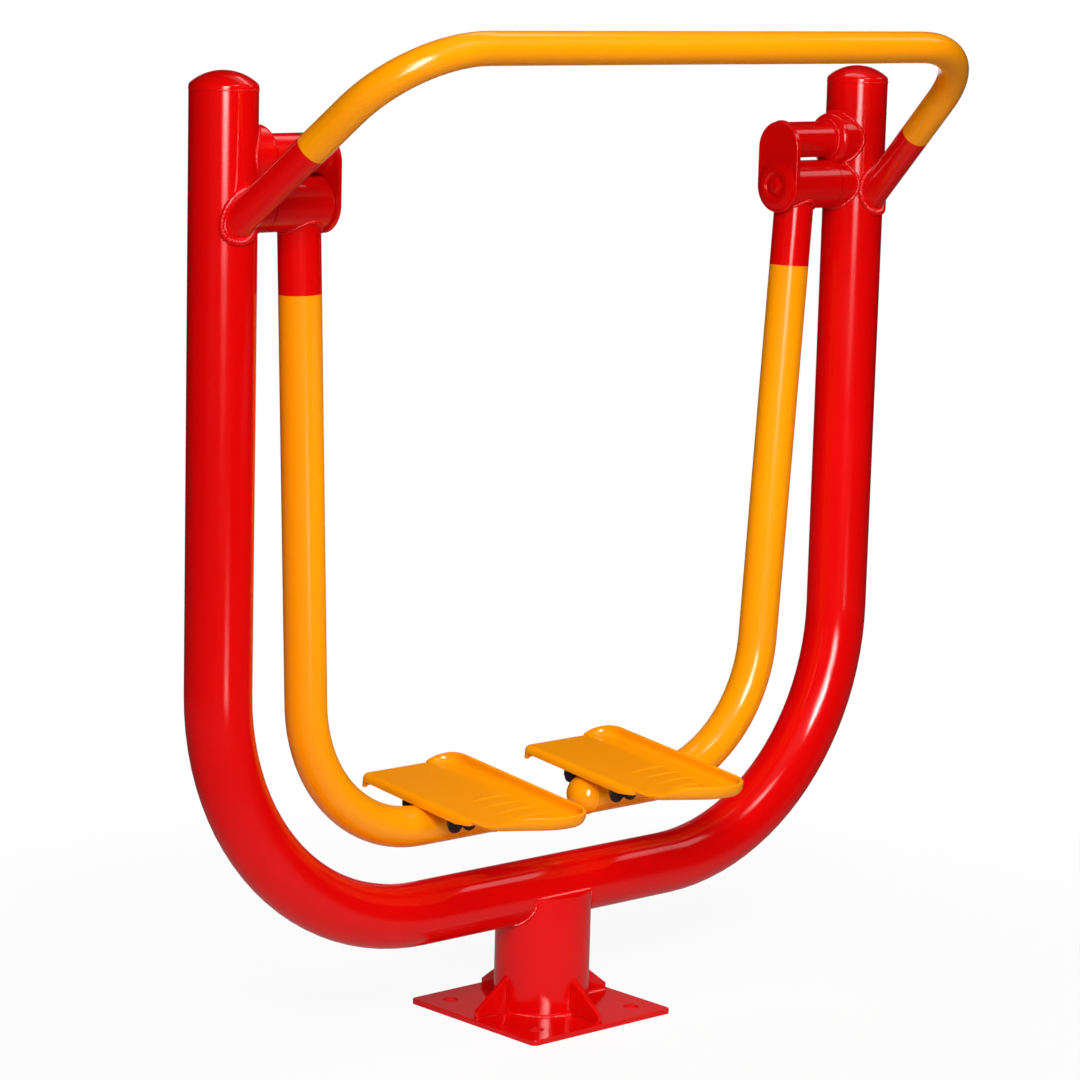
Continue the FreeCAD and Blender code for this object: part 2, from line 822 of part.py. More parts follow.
def hub_circlips(label, side):
    high = "bearing_diameter / 2 + circlip_depth - fit_play"
    low = "bearing_diameter / 2 + circlip_depth - circlip_width"
    outer = f"{OUTER_BEARING} + bearing_width"
    turned(label, side,
           block(f"{INNER_BEARING} - circlip_thickness", INNER_BEARING, low, high),
           block(outer, f"{outer} + circlip_thickness", low, high),
           angle="circlip_angle")


def bearing_seals(label, side):
    """Four thin rings that close the bearings and are held in the outer rings."""
    low, high = "inner_ring_diameter / 2 + seal_play", "outer_ring_bore / 2 - fit_play"
    loops = []
    for start in (INNER_BEARING, OUTER_BEARING):
        near, far = f"{start} + seal_inset", f"{start} + bearing_width - seal_inset"
        loops.append(block(near, f"{near} + seal_thickness", low, high))
        loops.append(block(f"{far} - seal_thickness", far, low, high))
    turned(label, side, *loops)


def arm_tube(label, side):
    """The leaning tube that bends inwards and runs level under the pedal."""
    body = new_body(label)
    path = new_sketch(body, label + "_path", "XZ_Plane")
    rounded_outline(path, [
        ("arm_end", "arm_bottom", None),
        (ARM_CORNER, "arm_bottom", "arm_bend"),
        (f"{POST} - arm_setback", "pivot_height", None),
    ], closed=False)
    pipe(body, path, "arm_diameter", "arm_wall")
    cope(body, label + "_cope", "YZ_Plane", "0", "pivot_height", "hub_diameter / 2")
    turn = Rotation(Vector(0, 0, 1), 0 if side > 0 else 180)
    keep(body, label, hanging() * Placement(Vector(), turn))


def arm_cap(label, side):
    place = Placement(Vector(side * value("arm_end"), 0, value("arm_bottom")),
                      Rotation(Vector(0, 1, 0), -90 * side))
    dome(label, hanging() * place, "arm_diameter / 2", "arm_cap_rim", "arm_cap_rise", "arm_wall")


# Pedal and its mounting


def pedal_outline(sketch):
    half = "pedal_width / 2"
    rounded_outline(sketch, [
        (f"-{half}", "pedal_heel", "heel_tip"),
        (f"-{half}", "-pedal_toe_side", "toe_side_corner"),
        ("pedal_apex", "-pedal_toe", "toe_round"),
        (half, "-pedal_toe", "toe_corner"),
        (half, "pedal_heel", "heel_corner"),
    ])


def rim_half(name):
    """The pedal's dish: floor, rounded foot and upright rim, faded at both ends."""
    body = new_body(name)
    outline = new_sketch(body, name + "_outline")
    pedal_outline(outline)
    pad(body, outline, "pedal_wall + pedal_rim")
    top = value("pedal_wall + pedal_rim")
    fillet(body, lambda edge, middle: abs(middle.z) < 0.01, "rim_roll")
    hollow(body, top, "pedal_wall")
    fillet(body, lambda edge, middle: abs(middle.z - top) < 0.01, "pedal_wall * 0.46")
    low, high = "pedal_wall", "pedal_wall + pedal_rim"
    far, above = "-pedal_width", "pedal_wall + 2 * pedal_rim"
    for half, start, end, forward in (("heel", "rim_heel_start", "rim_heel_end", False),
                                      ("toe", "-rim_toe_start", "-rim_toe_end", True)):
        fade = new_sketch(body, f"{name}_{half}_fade", "XZ_Plane")
        rounded_outline(fade, [
            (far, low, None), (start, low, "fade_round"), (end, high, "fade_round"),
            (f"{end} + fade_round", high, None), (f"{end} + fade_round", above, None),
            (far, above, None),
        ])
        pocket(body, fade, reversed_side=forward)
    return body


def lip_half(name):
    """The same floor with its edge rolled down instead of up."""
    body = new_body(name)
    outline = new_sketch(body, name + "_outline", lift="-heel_lip")
    pedal_outline(outline)
    pad(body, outline, "pedal_wall + heel_lip")
    top = value("pedal_wall")
    fillet(body, lambda edge, middle: abs(middle.z - top) < 0.01, "lip_roll")
    hollow(body, -value("heel_lip"), "pedal_wall")
    return body


def lip_region(name):
    """The strip along the near side and the heel where the edge is rolled down."""
    body = new_body(name)
    strip = new_sketch(body, name + "_outline", lift="-2 * heel_lip")
    far = "pedal_width"
    inner = "(-pedal_width / 2 + lip_strip)"
    across = "(pedal_heel - lip_strip)"
    toe_end = "(-pedal_toe_side + toe_side_corner)"
    polygon(strip, [
        (f"-{far}", toe_end), (inner, toe_end), (inner, across),
        ("rim_heel_start", across), ("rim_heel_start", far), (f"-{far}", far),
    ])
    pad(body, strip, "3 * heel_lip + pedal_rim")
    side_end = "(pedal_heel - heel_tip)"
    side_fade = new_sketch(body, name + "_side_fade", "YZ_Plane")
    polygon(side_fade, [
        (toe_end, "0"), (toe_end, "-3 * heel_lip"), (side_end, "-3 * heel_lip"),
        (side_end, "-side_lip"), (f"{toe_end} + lip_fade", "-side_lip"),
    ])
    pocket(body, side_fade, both=True)
    heel_fade = new_sketch(body, name + "_heel_fade", "XZ_Plane")
    polygon(heel_fade, [
        ("rim_heel_start", "0"), ("rim_heel_start", "-3 * heel_lip"),
        ("rim_heel_start - 2 * lip_fade", "-3 * heel_lip"),
        ("rim_heel_start - 2 * lip_fade", "-heel_lip"),
    ])
    pocket(body, heel_fade, both=True)
    return body


def pedal_ridges(name):
    """Shallow curved grip ridges on the floor, which sink into it at both ends."""
    rings = []
    for number in range(int(value("ridge_count"))):
        ring = primitive("Torus", f"{name}_{number}", Radius1="ridge_radius",
                         Radius2="ridge_thickness", Angle3="ridge_angle")
        crest = Vector(0, value("ridge_radius"), 0)
        line = Vector(value("ridge_setout"), -value(f"ridge_first + {number} * ridge_pitch"),
                      value("pedal_wall + ridge_height - ridge_thickness"))
        lean = Rotation(Vector(1, 0, 0), value("ridge_lean"))
        start = Rotation(Vector(0, 0, 1), 90 - value("ridge_angle") / 2)
        ring.Placement = Placement(line - lean.multVec(crest), lean * start)
        rings.append(ring)
    group = document.addObject("Part::Compound", name + "_rings")
    group.Links = rings
    floor = primitive("Box", name + "_floor", Length="pedal_width",
                      Width="pedal_heel + pedal_toe", Height="pedal_wall")
    floor.Placement.Base = Vector(-value("pedal_width / 2"), -value("pedal_toe"),
                                  value("pedal_wall / 2"))
    ridges = document.addObject("Part::Common", name)
    ridges.Base = group
    ridges.Tool = floor
    return ridges


def pedal(label, side):
    """A footplate with a rolled heel and near side, and a raised rim elsewhere."""
    dish = rim_half(label + "_dish")
    skirt = lip_half(label + "_skirt")
    region = lip_region(label + "_region")
    open_dish = cut(label + "_open_dish", dish, region)
    edge = document.addObject("Part::Common", label + "_edge")
    edge.Base = skirt
    edge.Tool = region
    plain = fuse(label + "_plain", open_dish, edge)
    body = fuse(label + "_whole", plain, pedal_ridges(label + "_ridges"))
    lift = Placement(Vector(0, 0, value(PEDAL_BASE)), Rotation())
    keep(body, label, on_pedal(side) * lift)


def stud_places():
    """Where the eight studs stand on the pedal, as expressions."""
    places = []
    for plate in ("-", ""):
        for inner in ("-", "+"):
            for row in ("-stud_toe", "stud_heel"):
                x = f"{plate}bracket_setout {inner} stud_spacing / 2"
                places.append((x, row))
    return places


def pedal_brackets(label, side):
    """Two flat plates welded across the arm tube, drilled for the studs."""
    body = new_body(label)
    outline = new_sketch(body, label + "_outline", lift="arm_diameter / 2")
    half, toe, heel = "bracket_width / 2", "-stud_toe - bracket_margin", "stud_heel + bracket_margin"
    for middle in ("-bracket_setout", "bracket_setout"):
        corners = [
            (f"{middle} - {half}", toe), (f"{middle} + {half}", toe),
            (f"{middle} + {half}", heel), (f"{middle} - {half}", heel),
        ]
        rounded_outline(outline, [(x, y, "bracket_corner") for x, y in corners])
    pad(body, outline, "bracket_thickness")
    holes = new_sketch(body, label + "_holes")
    for x, y in stud_places():
        circle(holes, x, y, "stud_diameter / 2 + nut_play")
    pocket(body, holes, both=True)
    keep(body, label, on_pedal(side))


def pedal_studs(label, side):
    body = new_body(label)
    low = "(arm_diameter / 2 - washer_thickness - nut_height)"
    sketch = new_sketch(body, label + "_rounds", lift=low)
    for x, y in stud_places():
        circle(sketch, x, y, "stud_diameter / 2")
    pad(body, sketch, f"{PEDAL_BASE} - {low}")
    keep(body, label, on_pedal(side))


def pedal_washers(label, side):
    body = new_body(label)
    sketch = new_sketch(body, label + "_rounds", lift="arm_diameter / 2 - washer_thickness")
    for x, y in stud_places():
        circle(sketch, x, y, "washer_diameter / 2")
        circle(sketch, x, y, "stud_diameter / 2 + nut_play")
    pad(body, sketch, "washer_thickness")
    keep(body, label, on_pedal(side))


def dome_nut(name):
    """One cap nut, drawn downwards from its flat face on the XY plane."""
    hexagon = primitive("Prism", name + "_hexagon", Circumradius="nut_across / sqrt(3)",
                        Height="nut_height")
    hexagon.Polygon = 6
    bind(hexagon, "Placement.Base.z", "-nut_height")
    end = primitive("Sphere", name + "_end", Radius="nut_across / 2 - nut_play")
    bind(end, "Placement.Base.z", "-nut_height")
    bore = primitive("Cylinder", name + "_bore", Radius="stud_diameter / 2 + fit_play",
                     Height="nut_height + nut_play")
    bind(bore, "Placement.Base.z", "-nut_height - nut_play")
    return cut(name, fuse(name + "_body", hexagon, end), bore)


def pedal_nuts(label, side):
    nuts = []
    flat = value("arm_diameter / 2 - washer_thickness")
    for number, (x, y) in enumerate(stud_places()):
        nut = dome_nut(f"{label}_{number}")
        nut.Placement.Base = Vector(value(x), value(y), flat)
        nuts.append(nut)
    group = document.addObject("Part::Compound", label + "_group")
    group.Links = nuts
    keep(group, label, on_pedal(side))


def build():
    fill_sheet()
    base_plate()
    for turn, name in ((0, "right"), (90, "rear"), (180, "left"), (270, "front")):
        gusset("gusset_" + name, turn)
    pedestal_tube()
    pedestal_crescents()
    main_tube()
    handlebar()
    for name, side in SIDES.items():
        post_cap("post_cap_" + name, side)
        upper_bar("upper_bar_" + name, side)
        bar_collar("bar_collar_" + name, side)
        pivot_stub("pivot_stub_" + name, side)
        pivot_shaft("pivot_shaft_" + name, side)
        link_plate("link_plate_" + name, side)
        pivot_cover("pivot_cover_" + name, side)
        cover_bolt("cover_bolt_" + name, side)
        shaft, bore = "shaft_diameter / 2 + fit_play", "bearing_diameter / 2"
        bearing_rings("inner_rings_" + name, side, shaft, "inner_ring_diameter / 2")
        bearing_rings("outer_rings_" + name, side, "outer_ring_bore / 2", bore)
        bearing_balls("bearing_balls_" + name, side)
        bearing_spacers("bearing_spacers_" + name, side)
        bearing_seals("bearing_seals_" + name, side)
        arm_hub("arm_hub_" + name, side)
        hub_circlips("hub_circlips_" + name, side)
        arm_tube("arm_tube_" + name, side)
        arm_cap("arm_cap_" + name, side)
        pedal_brackets("pedal_brackets_" + name, side)
        pedal("pedal_" + name, side)
        pedal_studs("pedal_studs_" + name, side)
        pedal_washers("pedal_washers_" + name, side)
        pedal_nuts("pedal_nuts_" + name, side)
    document.recompute()


def check():
    """Stop if any object failed or any sub-part is not a sound solid."""
    for item in document.Objects:
        if "Invalid" in item.State or "Error" in item.State:
            raise RuntimeError(f"{item.Name} failed: {item.State}")
    for item in parts:
        if item.Shape.isNull() or not item.Shape.isValid() or not item.Shape.Solids:
            raise RuntimeError(f"{item.Label} is not a sound solid")


def export():
    os.makedirs("parts", exist_ok=True)
    for item in parts:
        item.Shape.exportStep(f"parts/{item.Label}.step")
        print(item.Label, len(item.Shape.Solids), "solids", round(item.Shape.Volume / 1000), "cm3")


build()
check()
export()
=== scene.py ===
import math

import bmesh
import bpy
from mathutils import Matrix, Vector


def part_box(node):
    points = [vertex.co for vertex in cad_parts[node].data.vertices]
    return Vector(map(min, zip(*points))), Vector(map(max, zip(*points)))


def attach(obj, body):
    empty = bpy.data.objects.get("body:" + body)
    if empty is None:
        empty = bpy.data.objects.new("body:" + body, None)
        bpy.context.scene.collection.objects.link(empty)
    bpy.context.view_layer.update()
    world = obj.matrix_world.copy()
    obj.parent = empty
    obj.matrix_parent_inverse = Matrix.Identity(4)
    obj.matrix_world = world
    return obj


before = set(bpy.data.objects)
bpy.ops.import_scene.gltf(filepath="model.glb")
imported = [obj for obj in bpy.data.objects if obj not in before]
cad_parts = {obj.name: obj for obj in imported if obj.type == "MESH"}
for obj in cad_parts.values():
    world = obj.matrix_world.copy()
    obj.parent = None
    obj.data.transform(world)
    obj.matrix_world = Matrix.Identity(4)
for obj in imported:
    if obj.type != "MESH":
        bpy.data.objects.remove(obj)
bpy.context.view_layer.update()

# Sizes, in metres, in the part's own frame

POST = 0.628
POST_RADIUS = 0.048
POST_FACE = POST - POST_RADIUS
PIVOT = 1.247
BAR_LINE = PIVOT + 0.070
BAR_RADIUS = 0.028
COLLAR_RADIUS = 0.041
COLLAR_FACE = POST_FACE - 0.020
STUB_RADIUS = 0.038
LINK_OUTER = 0.461
HANDLE_RADIUS = 0.02325
HANDLE_ROOT = 1.239
HANDLE_CORNER = 0.557
HANDLE_REACH = 0.312
HANDLE_HEIGHT = 1.472
ARM_RADIUS = 0.03075
ARM_BOTTOM = 0.3215
ARM_LINE = 0.496
ARM_END = 0.096
ARM_LEAN = math.radians(2.8)
ARM_TILT = math.radians(0.98)
BOTTOM_LINE = 0.192
PEDESTAL_RADIUS = 0.073
PLATE_TOP = 0.008
PLATE_HALF = 0.142
GUSSET_TOE = PLATE_HALF - 0.009
GUSSET_TOP = PLATE_TOP + 0.053
GUSSET_FLANK = 0.0042

# Where red changes to yellow: a point on the masked line of each leg and arm

HANDLE_MASK = Vector((0.590, -0.150, 1.335))
ARM_MASK = Vector((0.490, 0, 1.122))

# Weld beads: their ripples and steps, and where a ring is drawn before it slides to its seat

RIPPLE = 0.0035
RIPPLE_STEPS = 4
RIPPLE_SWELL = 0.15
WAVER = 0.06
BEAD_SIDES = 8
BEAD_STEP = 0.0009
MOUTH_LENGTH = 0.15
ABOVE_SEAT = 0.12
INSIDE_POST = 0.52

# Paint: linear colours, the scales of its noises, and how much each of them shows

RED = (0.745, 0.0016, 0.0016, 1)
DEEP_RED = (0.69, 0.0012, 0.0012, 1)
YELLOW = (1.0, 0.332, 0.0012, 1)
DEEP_YELLOW = (0.97, 0.31, 0.001, 1)
CLOUD_SCALE = 7
FLOW_SCALE = 24
PEEL_SCALE = 330
COAT_ROUGHNESS = 0.08
FLOW_ROUGHNESS = 0.07
YELLOW_ROUGHNESS = 0.04
PEEL_DEPTH = 0.00035
PEEL_SHARE = 0.12
EDGE_SHARE = 0.3

# Room: the floor's size and fades, and the surround's directions, fades and levels

WHITE = (1, 1, 1, 1)
FLOOR_RADIUS = 2.6
FLOOR_DROP = 0.0005
FLOOR_COLOUR = (0.86, 0.86, 0.86, 1)
FLOOR_WHITE = 0.92
FLOOR_FADE = (0.7, 1.6)
FLOOR_GLOW = 0.25
FLOOR_GLOW_FADE = (0.5, 1.2)
BACKDROP = (0.664, 0.724, -0.187)
BACKDROP_FADE = (0.97, 0.995)
DOWN = (0, 0, -1)
DOWN_FADE = (0.12, 0.30)
STUDIO = 0.004
STUDIO_BELOW = 0.06
ROOM_LIGHT = 0.07
FAR = 20

# Camera: the photograph's own size, focal length and shift in pixels, and viewing angle

PHOTO = 1080
FOCAL = 3674.8
SHIFT = 90
SENSOR = 36
CAMERA_TURN, CAMERA_RISE, CAMERA_ROLL = -0.7425, 0.188, 0.0262
CAMERA_TARGET = Vector((-0.0218, 0, 0.5943))
CAMERA_DISTANCE = 5.5258

SIDES = {"left": -1, "right": 1}
AXIS_X, AXIS_Z = Vector((1, 0, 0)), Vector((0, 0, 1))


# Shader maths: a wrapped socket adds its own Math nodes


class Value:
    """A number that changes over a surface, written in sums like any other."""

    def __init__(self, shading, socket):
        self.shading = shading
        self.socket = socket

    def result(self, operation, *values):
        item = self.shading.node("Math", {"operation": operation}, *values)
        return Value(self.shading, item.outputs[0])

    def __add__(self, other):
        return self.result("ADD", self, other)

    def __radd__(self, other):
        return self.result("ADD", other, self)

    def __sub__(self, other):
        return self.result("SUBTRACT", self, other)

    def __rsub__(self, other):
        return self.result("SUBTRACT", other, self)

    def __mul__(self, other):
        return self.result("MULTIPLY", self, other)

    def __rmul__(self, other):
        return self.result("MULTIPLY", other, self)

    def __truediv__(self, other):
        return self.result("DIVIDE", self, other)

    def __rtruediv__(self, other):
        return self.result("DIVIDE", other, self)

    def __abs__(self):
        return self.result("ABSOLUTE", self)

    def root(self):
        return self.result("POWER", self, 0.5)

    def above(self, other):
        return self.result("GREATER_THAN", self, other)

    def at_least(self, other):
        return self.result("MAXIMUM", self, other)

    def clamped(self):
        return self.result("MINIMUM", self.at_least(0), 1)

    def fade(self, start, end):
        return ((self - start) / (end - start)).clamped()


class Shading:
    """A node tree in the making."""

    def __init__(self, tree):
        self.tree = tree
        self.tree.nodes.clear()

    def node(self, kind, settings=None, *values, **named):
        """Adds a node with a value or a link on each socket, and skips each None."""
        item = self.tree.nodes.new("ShaderNode" + kind)
        for key, setting in (settings or {}).items():
            setattr(item, key, setting)
        pairs = list(zip(item.inputs, values))
        pairs += [(item.inputs[key.replace("_", " ")], value) for key, value in named.items()]
        for socket, value in pairs:
            if isinstance(value, Value):
                value = value.socket
            if isinstance(value, bpy.types.NodeSocket):
                self.tree.links.new(value, socket)
            elif value is not None:
                socket.default_value = value
        return item

    def dot(self, first, second):
        item = self.node("VectorMath", {"operation": "DOT_PRODUCT"}, first, second)
        return item.outputs["Value"]

    def spread(self, *values):
        item = self.node("MapRange", None, *values)
        return Value(self, item.outputs[0])


class Finish(Shading):
    """A material in the making."""

    def __init__(self, name):
        self.material = bpy.data.materials.new(name)
        self.material.use_nodes = True
        super().__init__(self.material.node_tree)
        self.place = self.node("TexCoord").outputs["Object"]

    def noise(self, scale, detail):
        item = self.node("TexNoise", None, Vector=self.place, Scale=scale, Detail=detail)
        return Value(self, item.outputs["Fac"])

    def axes(self):
        item = self.node("SeparateXYZ", None, self.place)
        return [Value(self, socket) for socket in item.outputs]

    def mix(self, share, first, second):
        """A colour between two others. A Mix node's colours are its sockets 6 and 7."""
        item = self.node("Mix", {"data_type": "RGBA"}, share, *[None] * 5, first, second)
        return item.outputs[2]

    def bump(self, height, distance, strength=1.0):
        item = self.node("Bump", None, Strength=strength, Distance=distance, Height=height)
        return item.outputs["Normal"]

    def glow(self, strength):
        return self.node("Emission", None, Color=WHITE, Strength=strength).outputs[0]

    def either(self, share, first, second):
        return self.node("MixShader", None, share, first, second).outputs[0]

    def surface(self, **values):
        shader = self.node("BsdfPrincipled", None, **values)
        return self.output(shader.outputs[0])

    def output(self, shader):
        self.node("OutputMaterial", None, Surface=shader)
        return self.material


# Finishes


def coat_colours(finish, light, deep):
    """The slight unevenness of a sprayed powder colour."""
    return finish.mix(finish.noise(CLOUD_SCALE, 3), deep, light)


def coat_roughness(finish):
    """How far the powder has flowed out, which changes slowly over the surface."""
    return COAT_ROUGHNESS + finish.noise(FLOW_SCALE, 2) * FLOW_ROUGHNESS


def powder_coat(name, light, deep):
    """Gloss powder coat: a hard even skin with a very fine orange peel."""
    finish = Finish(name)
    return finish.surface(
        Base_Color=coat_colours(finish, light, deep),
        Roughness=coat_roughness(finish),
        Specular_IOR_Level=0.5,
        Normal=finish.bump(finish.noise(PEEL_SCALE, 2), PEEL_DEPTH, PEEL_SHARE),
    )


def two_colours(name, edge):
    """Red at the root and a second coat of yellow beyond a masked line."""
    finish = Finish(name)
    beyond = edge(finish)
    red = coat_colours(finish, RED, DEEP_RED)
    yellow = coat_colours(finish, YELLOW, DEEP_YELLOW)
    skin = finish.noise(PEEL_SCALE, 2) * PEEL_SHARE + beyond * EDGE_SHARE
    return finish.surface(
        Base_Color=finish.mix(beyond, red, yellow),
        Roughness=coat_roughness(finish) + beyond * YELLOW_ROUGHNESS,
        Specular_IOR_Level=0.5,
        Normal=finish.bump(skin, PEEL_DEPTH),
    )


def handle_leg(sign):
    """The direction of one leg of the handlebar, away from its post."""
    return Vector((sign * (HANDLE_CORNER - POST), POST_RADIUS - HANDLE_REACH,
                   HANDLE_HEIGHT - HANDLE_ROOT)).normalized()


def handle_edge(finish):
    """The masked line square across both legs of the handlebar."""
    across, along, up = finish.axes()
    leg = handle_leg(1)
    reach = abs(across) * leg.x + along * leg.y + up * leg.z
    return reach.above(HANDLE_MASK.dot(leg))


def arm_edge(finish):
    """The masked line square across an arm below its hub."""
    across, _, up = finish.axes()
    line = ARM_MASK.z * math.cos(ARM_LEAN) + ARM_MASK.x * math.sin(ARM_LEAN)
    height = up * math.cos(ARM_LEAN) + abs(across) * math.sin(ARM_LEAN)
    return 1 - height.above(line)


def turned_steel(name, shade, roughness):
    """Bright steel with the fine lines of the lathe."""
    finish = Finish(name)
    lines = finish.node("TexWave", {"bands_direction": "X"}, Vector=finish.place, Scale=900,
                        Distortion=1.5).outputs["Fac"]
    film = finish.noise(60, 3)
    return finish.surface(
        Base_Color=finish.mix(film, (shade, shade, shade * 1.02, 1),
                              (shade * 0.8, shade * 0.8, shade * 0.8, 1)),
        Metallic=1.0,
        Roughness=roughness + film * 0.12,
        Normal=finish.bump(lines, 0.00002, 0.4),
    )


def dark_finish(name, shade, metal, roughness, grain):
    """A dark skin with a fine grain, for fasteners, clips and seals."""
    finish = Finish(name)
    patch = finish.noise(90, 3)
    return finish.surface(
        Base_Color=finish.mix(patch, (shade, shade, shade, 1),
                              (shade * 1.8, shade * 1.8, shade * 1.9, 1)),
        Metallic=metal,
        Roughness=roughness + patch * 0.15,
        Normal=finish.bump(finish.noise(grain, 4), 0.00008, 0.3),
    )


FINISHES = {
    "red_paint": powder_coat("red powder coat", RED, DEEP_RED),
    "yellow_paint": powder_coat("yellow powder coat", YELLOW, DEEP_YELLOW),
    "shaft_steel": turned_steel("turned steel", shade=0.56, roughness=0.2),
    "bearing_steel": turned_steel("ground steel", shade=0.68, roughness=0.1),
    "spring_steel": dark_finish("phosphated spring steel", shade=0.06, metal=0.8,
                                roughness=0.4, grain=500),
    "seal_rubber": dark_finish("seal rubber", shade=0.018, metal=0.0, roughness=0.55, grain=900),
    "black_fastener": dark_finish("blackened fastener", shade=0.02, metal=0.6,
                                  roughness=0.32, grain=700),
}
HANDLE_FINISH = two_colours("handlebar in two colours", handle_edge)
ARM_FINISH = two_colours("arm in two colours", arm_edge)


def finish_of(node):
    """The finish of a CAD node, from its own slot or for its two colours."""
    if node == "handlebar":
        return HANDLE_FINISH
    if node.startswith("arm_tube"):
        return ARM_FINISH
    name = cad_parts[node].material_slots[0].material.name
    return next(finish for slot, finish in FINISHES.items() if name.startswith(slot))


def dress_nodes():
    """Gives every CAD node its finish."""
    finishes = {node: finish_of(node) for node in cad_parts}
    for node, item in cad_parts.items():
        item.material_slots[0].material = finishes[node]


# Weld beads, under the paint


def piece(name, form, body, slot):
    """A finished mesh as a named object that moves with a body."""
    mesh = bpy.data.meshes.new(name)
    form.to_mesh(mesh)
    form.free()
    mesh.polygons.foreach_set("use_smooth", [True] * len(mesh.polygons))
    item = bpy.data.objects.new(name, mesh)
    bpy.context.scene.collection.objects.link(item)
    mesh.materials.append(FINISHES[slot])
    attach(item, body)


def upright(axis):
    """A turn that stands +Z along an axis."""
    return axis.to_track_quat("Z", "Y").to_matrix().to_4x4()


def ring_of_weld(radius, size, centre, along):
    """A thin ring round an axis with the ripples of a hand-laid bead."""
    form = bmesh.new()
    steps = RIPPLE_STEPS * round(2 * math.pi * radius / RIPPLE)
    bmesh.ops.create_circle(form, segments=BEAD_SIDES, radius=size)
    bmesh.ops.rotate(form, verts=form.verts, matrix=Matrix.Rotation(math.pi / 2, 3, "X"))
    bmesh.ops.translate(form, verts=form.verts, vec=(radius, 0, 0))
    bmesh.ops.spin(form, geom=form.verts[:] + form.edges[:], cent=(0, 0, 0), axis=(0, 0, 1),
                   angle=2 * math.pi, steps=steps, use_merge=True)
    for point in form.verts:
        turn = math.atan2(point.co.y, point.co.x)
        line = Vector((math.cos(turn), math.sin(turn), 0)) * radius
        ripple = RIPPLE_SWELL * math.cos(turn * steps / RIPPLE_STEPS)
        waver = WAVER * math.sin(turn * 7 + radius * 900)
        point.co = line + (point.co - line) * (1 + ripple + waver)
    bmesh.ops.recalc_face_normals(form, faces=form.faces)
    bmesh.ops.transform(form, matrix=Matrix.Translation(centre) @ upright(along), verts=form.verts)
    return form


def onto_tube(point, along, centre, tube_axis, tube_radius):
    """How far a point slides along a direction to meet a round tube."""
    offset = point - centre
    across = offset - tube_axis * offset.dot(tube_axis)
    slide = along - tube_axis * along.dot(tube_axis)
    a, b = slide.length_squared, across.dot(slide)
    c = across.length_squared - tube_radius ** 2
    return (-b - math.sqrt(max(b * b - a * c, 0))) / a


def saddle_weld(name, body, start, along, radius, tube, size):
    """A bead round a tube's foot on another tube, thinner where the two run side by side."""
    centre, tube_axis, tube_radius = tube
    form = ring_of_weld(radius, size, start, along)
    for point in form.verts:
        offset = point.co - start
        radial = offset - along * offset.dot(along)
        line = start + radial.normalized() * radius
        seat = line + along * onto_tube(line, along, centre, tube_axis, tube_radius)
        facing = (seat - centre - tube_axis * (seat - centre).dot(tube_axis)).normalized()
        share = min(1, 1.8 * abs(facing.dot(along)))
        point.co = seat + (point.co - line) * share
    piece(name, form, body, "red_paint")


def flat_weld(name, body, centre, along, radius, size, slot="red_paint"):
    """A bead round a tube where it meets a flat face or a cap."""
    piece(name, ring_of_weld(radius, size, centre, along), body, slot)


def weld_along(form, path, length, size):
    """Adds a bead with closed round ends along a path from 0 to 1."""
    steps = max(8, round(length / BEAD_STEP))
    made = bmesh.ops.create_circle(form, segments=BEAD_SIDES, radius=size, cap_ends=True)
    ring = made["verts"]
    face = ring[0].link_faces[0]
    for step in range(steps):
        moved = bmesh.ops.extrude_face_region(form, geom=[face])
        face = next(item for item in moved["geom"] if isinstance(item, bmesh.types.BMFace))
        corners = [item for item in moved["geom"] if isinstance(item, bmesh.types.BMVert)]
        bmesh.ops.translate(form, verts=corners, vec=(0, 0, 1 / steps))
        ring += corners
    for point in ring:
        across, along, share = point.co
        swell = 1 + RIPPLE_SWELL * math.cos(share * length / RIPPLE * 2 * math.pi)
        swell *= min(1, 0.35 + 12 * min(share, 1 - share))
        ahead = (path(min(share + 0.01, 1)) - path(max(share - 0.01, 0))).normalized()
        turned = upright(ahead).to_3x3() @ Vector((across * swell, along * swell, 0))
        point.co = path(share) + turned


def straight_weld(form, start, end, size):
    """Adds a straight bead to a mesh."""
    weld_along(form, lambda share: start.lerp(end, share), (end - start).length, size)


def frame_welds():
    """The beads of the upper bars, stubs, handlebar and caps."""
    for side, sign in SIDES.items():
        post = (Vector((sign * POST, 0, 0)), AXIS_Z, POST_RADIUS)
        outward = Vector((sign, 0, 0))
        saddle_weld(f"collar_weld_{side}", "frame", Vector((sign * INSIDE_POST, 0, BAR_LINE)),
                    outward, COLLAR_RADIUS, post, size=0.0038)
        flat_weld(f"bar_weld_{side}", "frame", Vector((sign * COLLAR_FACE, 0, BAR_LINE)),
                  outward, BAR_RADIUS + 0.001, size=0.0032)
        flat_weld(f"link_weld_{side}", "frame", Vector((sign * LINK_OUTER, 0, BAR_LINE)),
                  outward, BAR_RADIUS, size=0.003)
        saddle_weld(f"stub_weld_{side}", "frame", Vector((sign * INSIDE_POST, 0, PIVOT)),
                    outward, STUB_RADIUS, post, size=0.0036)
        leg = handle_leg(sign)
        foot = Vector((sign * POST, -POST_RADIUS, HANDLE_ROOT)) + leg * ABOVE_SEAT
        saddle_weld(f"handlebar_weld_{side}", "frame", foot, -leg, HANDLE_RADIUS + 0.003, post,
                    size=0.006)
        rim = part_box(f"post_cap_{side}")[0].z
        flat_weld(f"cap_weld_{side}", "frame", Vector((sign * POST, 0, rim)), AXIS_Z,
                  POST_RADIUS - 0.0005, size=0.0012)


